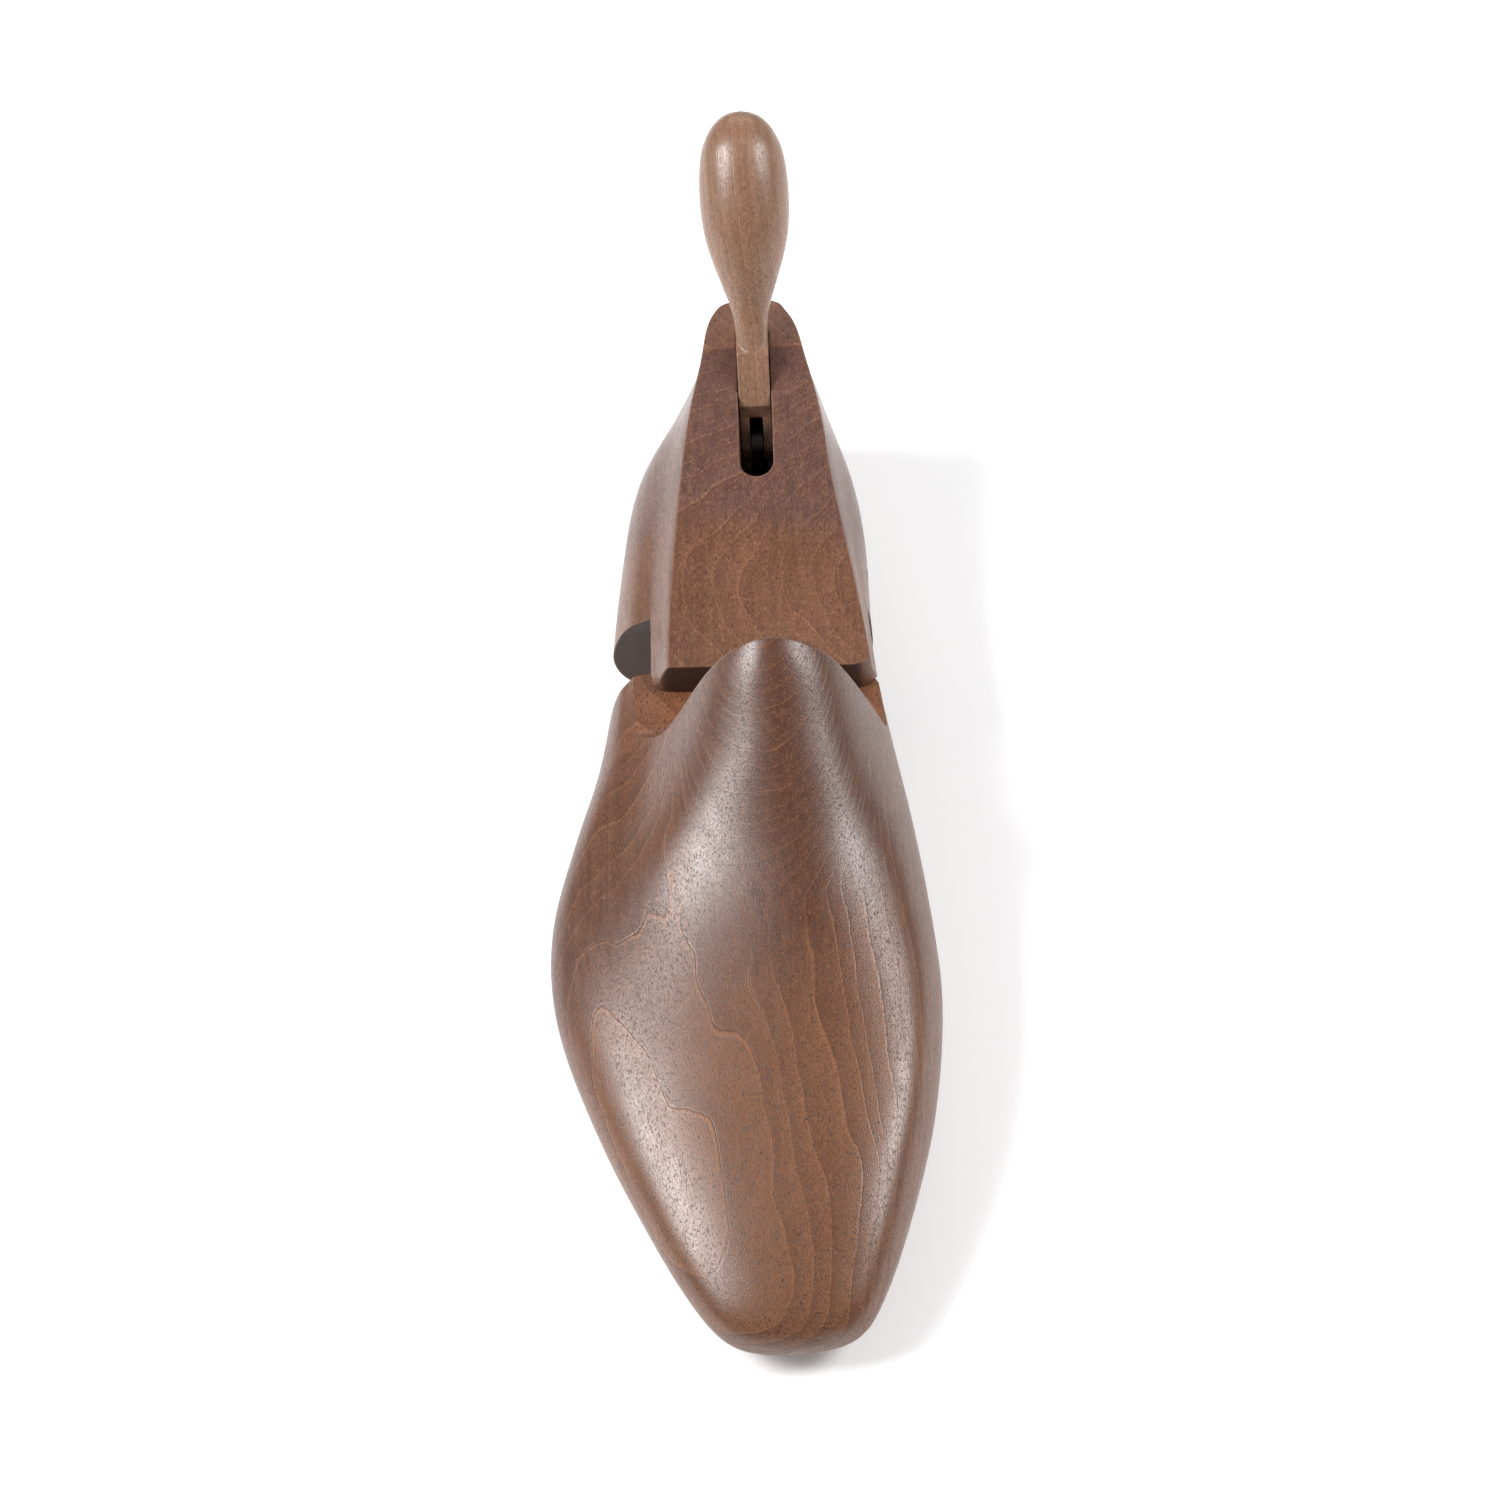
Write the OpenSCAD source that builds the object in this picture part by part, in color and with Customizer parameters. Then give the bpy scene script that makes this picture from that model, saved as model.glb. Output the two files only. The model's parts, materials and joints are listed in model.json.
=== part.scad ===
// Lever shoe tree, right foot. Two lasted beech blocks on a steel draw bar: a heel block with a
// leaning wooden lever, and a forepart that the lever slides in and out.
// Millimetres. +X is the medial side, the toe points along -Y, +Z is up, the seat rests on Z = 0.
// Lengths along the last are counted from the back of the heel towards the toe.

/* [Last] */
// height of the shelf that the tongue slides over
shelf_z = 37; // [30:0.5:42]
// distance from the heel to the forepart's rear end
fore_rear = 112; // [108:0.5:118]
// radius of the rear end's lateral corner, seen from above
rear_corner_lat = 13; // [8:0.5:20]
// radius of the rear end's medial corner, seen from above
rear_corner_med = 11; // [6:0.5:16]
// distance from the heel to the upright back of the instep
instep_back = 136.5; // [132:0.5:142]
// radius of the fillet between shelf and instep
instep_fillet = 7; // [3:0.5:10]

/* [Heel top] */
// height of the level rear area
top_z = 63.5; // [58:0.5:68]
// distance from the heel to the end of the level area
crease = 22; // [16:0.5:28]
// radius of the long hollow in front of the level area
hollow_r = 311; // [250:1:400]
// height of the top surface at the tongue's front end
tongue_z = 47; // [44:0.5:50]
// gap between tongue and shelf
tongue_gap = 0.4; // [0.3:0.1:1]
// distance from the heel to the tongue's front end
tongue_end = 119.2; // [115:0.1:121]
// radius of the tongue's front corners, lateral side
tongue_corner_lat = 6; // [3:0.5:10]
// radius of the tongue's front corners, medial side
tongue_corner_med = 8; // [3:0.5:10]
// half widths of the tongue's front, lateral and medial side
tongue_half = [29.8, 30.2]; // [26:0.1:32]
// angle between the tongue's front edge and the cross direction
tongue_skew = 2.2; // [0:0.1:4]
// radius of the hollow front face below the tongue
arch_r = 85; // [60:5:120]
// distance from the heel to the axis of that hollow face
arch_axis = 174.7; // [165:0.1:180]
// height of that axis
arch_z = 12; // [8:1:20]

/* [Slot] */
// width of the slot for the lever
slot_w = 9; // [8:0.1:10]
// distance from the heel to the slot's rear end
slot_rear = 12.5; // [10:0.5:16]
// distance from the heel to the slot's rounded front end
slot_front = 59.5; // [55:0.5:66]
// height of the slot's floor
slot_floor = 36; // [35:0.5:37.5]

/* [Lever] */
// distance from the heel to the lever's pivot
pivot_at = 33; // [30:0.5:36]
// height of the lever's pivot
pivot_z = 55.5; // [54:0.5:58]
// angle of the lever above the horizontal, leaning back over the heel
lever_lean = 47; // [40:1:55]
// length from the pivot to the end of the knob
lever_len = 75.7; // [72:0.5:86]
// largest diameter of the knob
knob_d = 23.8; // [22:0.1:27]
// diameter of the stem beside the foot
stem_d = 8.4; // [8:0.1:8.5]
// radius of the flat foot round the pivot
foot_r = 6.2; // [5.5:0.1:7]
// distance from the pivot to the flat front of the stem
foot_front = 4.4; // [4:0.1:5]
// radius of the foot round the link pin
link_r = 4.4; // [4:0.1:5]
// radius from the pivot to the link pin
crank_r = 13; // [11:0.1:15]
// angle of the link pin forward of straight down, at rest
crank_rest = 26.5; // [22:0.5:30]
// lever travel towards the toe, from rest
swing = 53; // [44:1:60]
// width of the saw kerf in the foot
kerf_w = 3.6; // [3.4:0.1:4]

/* [Draw bar] */
// thickness of the bar
bar_t = 3; // [2:0.1:3.2]
// height of the bar's lower run
bar_h = 10; // [8:0.1:11]
// width of the channel for the bar in the heel block
channel_w = 4; // [3.6:0.1:5]
// height of the lower run's centre
bar_z = 26; // [24:0.5:28]
// distance from the heel to the bar's front end
bar_end = 152; // [145:0.5:160]
// clearance of the link pin in the bar's upright eye
eye_gap = 0.25; // [0.15:0.01:0.4]
// distance from the heel to the guide pin
guide_at = 72; // [70:0.5:74]
// clearance of the guide pin in the bar's long slot
guide_gap = 0.2; // [0.15:0.01:0.4]

/* [Pins] */
// diameter of the lever pivot pin
pivot_d = 4; // [3.5:0.1:4.5]
// running clearance of the lever on its pivot pin, on the radius
pivot_gap = 0.08; // [0.02:0.01:0.1]
// diameter of the other pins
pin_d = 3; // [2.5:0.1:3.5]
// diameter of the guide pin
guide_d = 3.6; // [3:0.1:4]
// diameter of the wooden plugs
plug_d = 5; // [4.5:0.1:6]
// distances from the heel to the two pins that hold the bar in the forepart
bar_pins = [124, 142]; // [120:1:148]

/* [Hidden] */
// distance that the part is moved so its origin is the centre of the base
shift = [6.77, 136.33];
// points between neighbouring section points, and rings between neighbouring stations
steps = [3, 4];
// forepart travel for each radian of lever swing
travel_per_rad = 12.54;
travel = travel_per_rad * swing * PI / 180;
// room for the bar's upturned end, and the narrow channel in front of it, from the heel
eye_room = [22, 46];
channel = [45, 100];
// free height above and below the bar in its channel
channel_gap = 0.5;
// sides between which the cross pins lie; the plugs start where a pin ends
pivot_span = [-13, 12.5];
guide_span = [-14, 14];
bar_pin_span = [-34, 16];
link_at = pivot_at + crank_r * sin(crank_rest);
link_z = pivot_z - crank_r * cos(crank_rest);
$fn = 48;
wood = [0.42, 0.27, 0.18];
pale_wood = [0.50, 0.37, 0.28];
steel = [0.62, 0.62, 0.60];

// Stations of the last. Each row holds: distance from the heel; bottom height;
// height of the widest line; lateral half width and three points up the lateral flank;
// medial half width and three points up the medial flank; side offset and height of the top.
heel_rows = [
    [0, 9, 24, 0.3, 0.3, 38, 0.3, 52, 0.3, 66, 0.3, 0.3, 38, 0.3, 52, 0.3, 66, 0, 73],
    [1.2, 5.8, 23, 8, 7.2, 38, 6.8, 52, 6.9, 67, 6.8, 6.4, 38, 6.2, 52, 6.1, 67, 0, 73],
    [5, 2.4, 22, 16.6, 13.4, 38, 10.9, 52, 9.5, 67, 12.4, 11.2, 38, 9.6, 52, 8.3, 67, 0, 73],
    [12, 0.2, 22, 24.6, 18.4, 38, 13.9, 52, 11.3, 67, 18.3, 16, 38, 13, 52, 10.7, 67, 0, 73],
    [24, -0.5, 21, 30.4, 23.4, 38, 16.4, 51.5, 12.3, 67, 22.6, 18.7, 38, 15.6, 51.5, 12.4, 67, 0, 73],
    [40, -0.6, 20, 35.6, 31.2, 36, 22.5, 48, 14, 63, 26, 23.4, 36, 19.8, 48, 14.8, 63, 0, 69],
    [60, 0.2, 20, 38.2, 34.6, 34, 26, 44, 16.8, 57, 27.8, 26.6, 34, 23.2, 44, 16.8, 57, 0, 63],
    [90, 5, 19, 40.8, 35.8, 32, 27.8, 38.8, 21.4, 50, 28.4, 27.7, 34, 25.8, 42, 21.9, 51, 0, 57],
    [125, 7, 19, 41.2, 36.2, 32, 27.7, 38.2, 21.9, 49, 31, 30.4, 34, 28.6, 42, 25.6, 51, 0, 56]];
fore_rows = [
    [100, 6.5, 21, 39.2, 36.8, 32.5, 30.5, 39.5, 11, 66, 28.9, 28.6, 36, 25.4, 52, 16, 71, 3, 79],
    [118, 7, 21, 41.2, 38.2, 32.5, 31, 39.5, 11, 67, 30.2, 29.6, 36, 26, 52, 16.4, 72, 3, 80],
    [136, 6, 21, 44.2, 39.8, 32, 25.4, 42.5, 10.8, 69.5, 33.4, 32, 36, 26.8, 52, 17, 72, 3, 79.5],
    [156, 3.8, 20, 49.6, 45.2, 30, 31, 38, 13, 57.5, 36.8, 35.2, 33, 29.2, 46, 18, 61, 3, 66.5],
    [180, 1.2, 18, 54.7, 50.8, 26, 38.2, 33.5, 17.5, 44.5, 39.8, 38.4, 29, 32.4, 39.5, 19, 48, 4, 50.5],
    [205, -0.5, 16, 53, 49.6, 23.5, 38.4, 30.5, 18, 37.5, 41.4, 40.2, 26, 34.6, 34.5, 21, 40, 5, 41],
    [235, 0.8, 15, 42.9, 40.2, 22, 31.6, 27.5, 15.5, 32, 38.2, 37.2, 23.5, 32.4, 30.2, 20.5,
        33.6, 6, 34.2],
    [262, 3, 14, 30.6, 28.8, 20, 22.4, 24.2, 10.5, 27.4, 31.2, 30.2, 21, 25.8, 25.8, 17, 28.4, 6, 28.8],
    [280, 5.5, 13, 20.9, 19.4, 17.6, 14.8, 20.6, 6, 22.8, 24.9, 23.8, 18, 20.2, 21.3, 13.4, 23, 5, 23.4],
    [289.6, 7.2, 12.5, 13.4, 12.2, 15.8, 9, 17.8, 2.8, 19.2, 19.4, 18.4, 16, 15.4, 18.2, 10.4,
        19.3, 4, 19.6],
    [293.3, 9.2, 12.5, 5, 4.6, 14, 2.8, 15, -0.4, 15.8, 11.6, 11, 14.2, 9.2, 15.2, 6.6, 15.8, 3.4, 16],
    [294.3, 12, 12.3, -2.9, -2.9, 12.4, -2.9, 12.5, -3, 12.6, 3.3, 3.3, 12.4, 3.3, 12.5, 3.2,
        12.6, 3.1, 12.7]];

// profile of the lever from the stem to the end of the knob: distance from the end, and share of
// the knob's largest radius
knob_profile = [
    [62.8, 0.35], [55, 0.38], [50.5, 0.46], [46.8, 0.57], [43, 0.68], [38.5, 0.81], [33, 0.92], [27, 0.99],
    [21.5, 1.00], [15.5, 0.97], [9.7, 0.89], [4.9, 0.71], [1.9, 0.48], [0.5, 0.25], [0, 0.00]];

// smooth value between b and c, with a and d as the values before and after them
function smooth(a, b, c, d, t) =
    b + 0.5 * t * (c - a + t * (2 * a - 5 * b + 4 * c - d + t * (3 * (b - c) + d - a)));

// the last turned over about its own end, which rounds that end off
function turned(row, end) = [for (i = [0 : len(row) - 1]) i == 0 ? row[0] : 2 * end[i] - row[i]];

function carried_on(row, end) = 2 * end - row;

// one closed section as a list of [side, height], medial side first
function section_points(r) =
    let (h = r[2] - r[1])
    [[r[17] * 0.5, r[1]],
     [0.45 * r[10], r[1]], [0.78 * r[10], r[1] + 0.06 * h], [0.95 * r[10], r[1] + 0.34 * h],
     [r[10], r[2]], [r[11], r[12]], [r[13], r[14]], [r[15], r[16]],
     [r[17], r[18]],
     [-r[8], r[9]], [-r[6], r[7]], [-r[4], r[5]], [-r[3], r[2]],
     [-0.95 * r[3], r[1] + 0.34 * h], [-0.78 * r[3], r[1] + 0.06 * h], [-0.45 * r[3], r[1]]];

function section_curve(p) =
    let (n = len(p))
    [for (i = [0 : n - 1]) for (j = [0 : steps[0] - 1])
        smooth(p[(i + n - 1) % n], p[i], p[(i + 1) % n], p[(i + 2) % n], j / steps[0])];

// the back of the heel leans forward above and below its widest line
function back_lean(at, z) =
    pow(max(0, 1 - at / 45), 1.5) * (z > 26 ? 3.5 * pow((z - 26) / 37.5, 1.5) : 7 * pow((26 - z) / 26, 2.2));

function ring(r) =
    [for (p = section_curve(section_points(r))) [p[0], -(r[0] + back_lean(r[0], p[1])), p[1]]];

// skin of the last through a list of stations that has one extra row at each end
module skin(rows) {
    rings = [for (i = [1 : len(rows) - 3]) for (j = [0 : steps[1] - (i < len(rows) - 3 ? 1 : 0)])
        ring(smooth(rows[i - 1], rows[i], rows[i + 1], rows[i + 2], j / steps[1]))];
    n = len(rings[0]);
    m = len(rings);
    points = [for (r = rings) for (p = r) p];
    start_cap = [[for (i = [0 : n - 1]) i]];
    end_cap = [[for (i = [n - 1 : -1 : 0]) (m - 1) * n + i]];
    sides = [for (i = [0 : m - 2]) for (j = [0 : n - 1])
        let (a = i * n + j, b = i * n + (j + 1) % n)
        each [[a, a + n, b], [b, a + n, b + n]]];
    polyhedron(points, concat(start_cap, sides, end_cap), convexity = 10);
}

module heel_skin() {
    last_row = len(heel_rows) - 1;
    skin(concat([turned(heel_rows[1], heel_rows[0])], heel_rows,
        [carried_on(heel_rows[last_row - 1], heel_rows[last_row])]));
}

module fore_skin() {
    last_row = len(fore_rows) - 1;
    skin(concat([carried_on(fore_rows[1], fore_rows[0])], fore_rows,
        [turned(fore_rows[last_row - 1], fore_rows[last_row])]));
}

// box between two distances from the heel, two sides and two heights
module block(at, side, z) {
    translate([side[0], -at[1], z[0]]) cube([side[1] - side[0], at[1] - at[0], z[1] - z[0]]);
}

// cylinder across the last, between two sides
module across(at, z, r, side) {
    translate([side[0], -at, z]) rotate([0, 90, 0]) cylinder(r = r, h = side[1] - side[0]);
}

// flat plate upright along the last, drawn as distance and height
module upright(t) {
    rotate([90, 0, -90]) linear_extrude(t, center = true) children();
}

module place() {
    translate([shift[0], shift[1], 0]) children();
}

// everything above the heel block's top face
module above_top() {
    hollow_at = crease + sqrt(hollow_r * hollow_r - pow(tongue_z + hollow_r - top_z, 2));
    block([-20, 140], [-60, 60], [top_z, 120]);
    across(hollow_at, tongue_z + hollow_r, hollow_r, [-60, 60], $fn = 360);
}

// plan of the tongue's front, rounded at both corners
module tongue_plan() {
    lateral = tongue_half[0];
    medial = tongue_half[1];
    r1 = tongue_corner_lat;
    r2 = tongue_corner_med;
    translate([0, -tongue_end]) rotate(-tongue_skew) translate([0, tongue_end]) {
        translate([-lateral + r1, -tongue_end + r1]) circle(r1);
        translate([medial - r2, -tongue_end + r2]) circle(r2);
        translate([-lateral + r1, -tongue_end]) square([lateral + medial - r1 - r2, 40]);
        translate([-60, -tongue_end + max(r1, r2) + 1]) square([120, 140]);
        translate([-lateral, -tongue_end + r1]) square([lateral, 40]);
        translate([medial - 20, -tongue_end + r2]) square([20, 40]);
    }
}

module slot_plan() {
    translate([0, -slot_rear - slot_w / 2]) circle(slot_w / 2);
    translate([0, -slot_front + slot_w / 2]) circle(slot_w / 2);
    translate([-slot_w / 2, -slot_front + slot_w / 2]) square([slot_w, slot_front - slot_rear - slot_w]);
}

module heel_block() {
    under = shelf_z + tongue_gap;
    channel_low = bar_z - bar_h / 2 - channel_gap;
    channel_high = bar_z + bar_h / 2 + channel_gap;
    color(wood) place() difference() {
        intersection() {
            heel_skin();
            linear_extrude(90) tongue_plan();
        }
        above_top();
        block([-20, 130], [-60, 60], [-5, 0]);
        intersection() {
            across(arch_axis, arch_z, arch_r, [-60, 60], $fn = 120);
            block([60, 160], [-60, 60], [-20, under]);
        }
        translate([0, 0, slot_floor]) linear_extrude(90) slot_plan();
        // narrow channel for the bar and its upturned end
        block(eye_room, [-channel_w / 2, channel_w / 2], [channel_low, slot_floor + 1]);
        block(channel, [-channel_w / 2, channel_w / 2], [channel_low, channel_high]);
        across(pivot_at, pivot_z, pivot_d / 2, [pivot_span[0], pivot_span[1] + 1]);
        across(pivot_at, pivot_z, plug_d / 2, [pivot_span[1], 40]);
        across(guide_at, bar_z, guide_d / 2, [guide_span[0], 40]);
    }
}

module lever_pivot_pin() {
    color(steel) place() across(pivot_at, pivot_z, pivot_d / 2, pivot_span);
}

module pivot_plug() {
    color(pale_wood) place() intersection() {
        across(pivot_at, pivot_z, plug_d / 2, [pivot_span[1], 40]);
        heel_skin();
    }
}

module guide_pin() {
    color(steel) place() across(guide_at, bar_z, guide_d / 2, guide_span);
}

// side view of the lever's flat foot, drawn from the pivot at the rest angle
module foot_profile() {
    link = [link_at - pivot_at, link_z - pivot_z];
    back = atan2(-link[1], -link[0]) + acos((foot_r - link_r) / crank_r);
    difference() {
        union() {
            circle(foot_r);
            translate(link) circle(link_r);
            polygon([foot_r * [cos(back), sin(back)], link + link_r * [cos(back), sin(back)], link,
                link + link_r * [cos(37), sin(37)], [foot_front, -2.5], [foot_front, 2], [0, 0]]);
            rotate(180 - lever_lean) translate([0, -stem_d / 2]) square([16, stem_d]);
        }
        translate([foot_front, -2.5]) square([20, 20]);
        rotate(180 - lever_lean) translate([-20, -stem_d / 2 - 20]) square([40, 20]);
    }
}

module lever_handle() {
    profile = [for (i = [0 : len(knob_profile) - 2]) for (j = [0 : 2])
        let (p = smooth(knob_profile[max(0, i - 1)], knob_profile[i], knob_profile[i + 1],
            knob_profile[min(len(knob_profile) - 1, i + 2)], j / 3))
        [p[0] > 30 ? max(stem_d, p[1] * knob_d) / 2 : p[1] * knob_d / 2, lever_len - p[0]]];
    color(pale_wood) place() translate([0, -pivot_at, pivot_z]) difference() {
        union() {
            rotate([-(90 - lever_lean), 0, 0])
                rotate_extrude($fn = 72) polygon(concat([[0, 1], [stem_d / 2, 1]], profile, [[0, lever_len]]));
            upright(stem_d) foot_profile();
        }
        translate([0, pivot_at, -pivot_z]) {
            across(pivot_at, pivot_z, pivot_d / 2 + pivot_gap, [-20, 20]);
            across(link_at, link_z, pin_d / 2, [-20, 20]);
            across(link_at, link_z, 9, [-kerf_w / 2, kerf_w / 2]);
        }
        // flat front end of the stem
        translate([-20, -foot_front - 20, -2.5]) cube([40, 20, 30]);
    }
}

module link_pin() {
    color(steel) place() across(link_at, link_z, pin_d / 2, [-stem_d / 2, stem_d / 2]);
}

module bar_profile() {
    eye_r = pin_d / 2 + eye_gap;
    eye_low = pivot_z - crank_r;
    eye_high = link_z + 0.3;
    plate = 2.3 + eye_r;
    half = bar_h / 2;
    slot_r = guide_d / 2 + guide_gap;
    difference() {
        union() {
            translate([link_at, eye_high]) circle(plate);
            polygon([[link_at - plate, eye_high], [link_at - plate, bar_z], [link_at, bar_z - half],
                [bar_end, bar_z - half], [bar_end, bar_z + half], [link_at + plate + 2, bar_z + half],
                [link_at + plate, bar_z + half + 2], [link_at + plate, eye_high]]);
        }
        translate([link_at, eye_low]) circle(eye_r);
        translate([link_at, eye_high]) circle(eye_r);
        translate([link_at - eye_r, eye_low]) square([2 * eye_r, eye_high - eye_low]);
        translate([guide_at, bar_z]) circle(slot_r);
        translate([guide_at + travel, bar_z]) circle(slot_r);
        translate([guide_at, bar_z - slot_r]) square([travel, 2 * slot_r]);
        for (at = bar_pins) translate([at, bar_z]) circle(pin_d / 2);
    }
}

module draw_bar() {
    color(steel) place() upright(bar_t) bar_profile();
}

// plan of the forepart's rear end, each corner rounded into its flank
module rear_plan() {
    r1 = rear_corner_lat;
    r2 = rear_corner_med;
    // the flanks spread by about one in five here
    spread = [1 / sqrt(1.04), 0.2 / sqrt(1.04)];
    lat = 42.8 - r1 / spread[0];
    med = 30.7 - r2 / spread[0];
    translate([-lat, -fore_rear - r1]) circle(r1, $fn = 72);
    translate([med, -fore_rear - r2]) circle(r2, $fn = 72);
    translate([-lat, -fore_rear - 30]) square([lat + med, 30]);
    translate([-70, -320]) square([70 - lat, 320 - fore_rear - r1 * (1 - spread[1])]);
    translate([med, -320]) square([60, 320 - fore_rear - r2 * (1 - spread[1])]);
    translate([-lat, -320]) square([lat + med, 300 - fore_rear]);
}

module forepart() {
    color(wood) place() difference() {
        intersection() {
            fore_skin();
            linear_extrude(100) rear_plan();
        }
        block([90, 300], [-70, 70], [-5, 0]);
        // shelf and upright back of the instep, joined by a fillet
        block([60, instep_back - instep_fillet], [-70, 70], [shelf_z, 120]);
        block([60, instep_back], [-70, 70], [shelf_z + instep_fillet, 120]);
        across(instep_back - instep_fillet, shelf_z + instep_fillet, instep_fillet, [-70, 70]);
        block([60, bar_end + 0.5], [-bar_t / 2 - 0.1, bar_t / 2 + 0.1],
            [bar_z - bar_h / 2 - 0.1, bar_z + bar_h / 2 + 0.1]);
        for (at = bar_pins) {
            across(at, bar_z, pin_d / 2, bar_pin_span);
            across(at, bar_z, plug_d / 2, [-70, bar_pin_span[0]]);
        }
    }
}

module bar_pin(at) {
    color(steel) place() across(at, bar_z, pin_d / 2, bar_pin_span);
}

module bar_plug(at) {
    color(pale_wood) place() intersection() {
        across(at, bar_z, plug_d / 2, [-70, bar_pin_span[0]]);
        fore_skin();
    }
}

module bar_pin_rear() {
    bar_pin(bar_pins[0]);
}

module bar_pin_front() {
    bar_pin(bar_pins[1]);
}

module bar_plug_rear() {
    bar_plug(bar_pins[0]);
}

module bar_plug_front() {
    bar_plug(bar_pins[1]);
}

heel_block();
forepart();
lever_handle();
lever_pivot_pin();
pivot_plug();
guide_pin();
link_pin();
draw_bar();
bar_pin_rear();
bar_pin_front();
bar_plug_rear();
bar_plug_front();
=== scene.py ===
import bmesh
import bpy
import json
import math
import numpy as np
from mathutils import Matrix, Vector


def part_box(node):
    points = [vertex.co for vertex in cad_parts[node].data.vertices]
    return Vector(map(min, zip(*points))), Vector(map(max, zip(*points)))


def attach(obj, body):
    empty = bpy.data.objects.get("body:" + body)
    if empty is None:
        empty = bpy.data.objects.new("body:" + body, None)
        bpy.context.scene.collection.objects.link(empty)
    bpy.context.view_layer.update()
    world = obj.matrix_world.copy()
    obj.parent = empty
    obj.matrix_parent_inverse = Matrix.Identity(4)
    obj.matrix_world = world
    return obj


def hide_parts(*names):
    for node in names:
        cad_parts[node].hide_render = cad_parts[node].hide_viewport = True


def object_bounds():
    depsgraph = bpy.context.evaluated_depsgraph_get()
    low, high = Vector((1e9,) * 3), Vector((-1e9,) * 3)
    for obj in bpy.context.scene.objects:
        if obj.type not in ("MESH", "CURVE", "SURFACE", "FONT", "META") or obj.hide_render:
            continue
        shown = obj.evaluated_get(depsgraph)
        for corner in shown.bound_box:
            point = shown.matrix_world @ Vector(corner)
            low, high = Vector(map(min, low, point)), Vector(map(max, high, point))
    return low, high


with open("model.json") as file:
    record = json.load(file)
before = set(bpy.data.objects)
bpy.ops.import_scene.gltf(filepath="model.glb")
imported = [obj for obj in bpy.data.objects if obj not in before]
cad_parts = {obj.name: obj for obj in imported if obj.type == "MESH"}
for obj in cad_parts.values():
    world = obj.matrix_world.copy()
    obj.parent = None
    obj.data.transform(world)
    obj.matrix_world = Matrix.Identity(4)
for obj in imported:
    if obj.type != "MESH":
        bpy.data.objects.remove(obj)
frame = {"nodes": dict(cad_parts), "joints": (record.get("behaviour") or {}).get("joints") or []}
CAD_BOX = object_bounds()

# ---------------------------------------------------------------------------------------------
# Where things are, in millimetres from the back of the heel (at), from the heel's centre line
# (side, medial positive) and up (z). The CAD boxes and the record's joints give the anchors.
# ---------------------------------------------------------------------------------------------
MM = 0.001
JOINT = {j["name"]: j for j in frame["joints"]}
PIVOT = Vector(JOINT["lever_pivot"]["pos_m"]) / MM
SIDE0 = PIVOT.x
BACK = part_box("heel_block")[1].y / MM
PIVOT_AT = BACK - PIVOT.y
PIVOT_Z = PIVOT.z

SHELF_Z = 37.0
FORE_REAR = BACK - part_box("forepart")[1].y / MM
INSTEP_BACK = 136.5
INSTEP_FILLET = 7.0
TOP_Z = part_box("heel_block")[1].z / MM
CREASE = 22.0
HOLLOW_R = 311.0
# the tongue: top height at its front, half widths, corner radii (lateral, medial) and gap to the shelf
TONGUE_Z = 47.0
TONGUE_END, TONGUE_SKEW = 119.2, math.radians(2.2)
TONGUE_HALF = (29.8, 30.2)
TONGUE_R = (6.0, 8.0)
TONGUE_GAP = 0.4
# the hollow front face below the tongue
ARCH_AT, ARCH_Z, ARCH_R = 174.7, 12, 85
# the forepart's rear end: half widths of the flanks there, corner radii, and the flanks' spread
REAR_HALF = (42.8, 30.7)
REAR_R = (13.0, 11.0)
SPREAD = 0.2
SLOT_W, SLOT_REAR, SLOT_FRONT, SLOT_FLOOR = 9.0, 12.5, 59.5, 36.0
# the channel for the bar and its upturned end, and the mortise in the forepart
EYE_ROOM, CHANNEL = [22, 46], [45, 100]
CHANNEL_HALF, CHANNEL_RISE = 2, 5.5
MORTISE_END, MORTISE_HALF, MORTISE_RISE = 152.5, 1.6, 5.1
PLUG_R = 2.5
PLUG_START = 12.5
GUIDE_START = 14
# further out than any flank
FAR = 70
LEAN = math.radians(47.0)
LEVER_LEN = 75.7
STEM_D = 8.4
# the lever's foot: radii round the pivot and the link pin, its flat front, kerf and holes
FOOT_R, LINK_R = 6.2, 4.4
FOOT_FRONT, FOOT_LOW = 4.4, -2.5
FOOT_BACK = 175.6
KERF_R, KERF_HALF = 9, 1.8
PIVOT_HOLE_R, LINK_HOLE_R = 2.08, 1.5
# how far up the stem its square part reaches, and where it has run out into the round
SQUARE_UP, SQUARE_OUT = 12, 18
CRANK_R = 13.0
CRANK = math.radians(26.5)
LINK_AT = PIVOT_AT + CRANK_R * math.sin(CRANK)
LINK_Z = PIVOT_Z - CRANK_R * math.cos(CRANK)
BAR_Z = (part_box("bar_pin_rear")[0].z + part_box("bar_pin_rear")[1].z) / 2 / MM
GUIDE_AT = BACK - (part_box("guide_pin")[0].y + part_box("guide_pin")[1].y) / 2 / MM
GUIDE_R = (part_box("guide_pin")[1].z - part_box("guide_pin")[0].z) / 2 / MM

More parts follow.
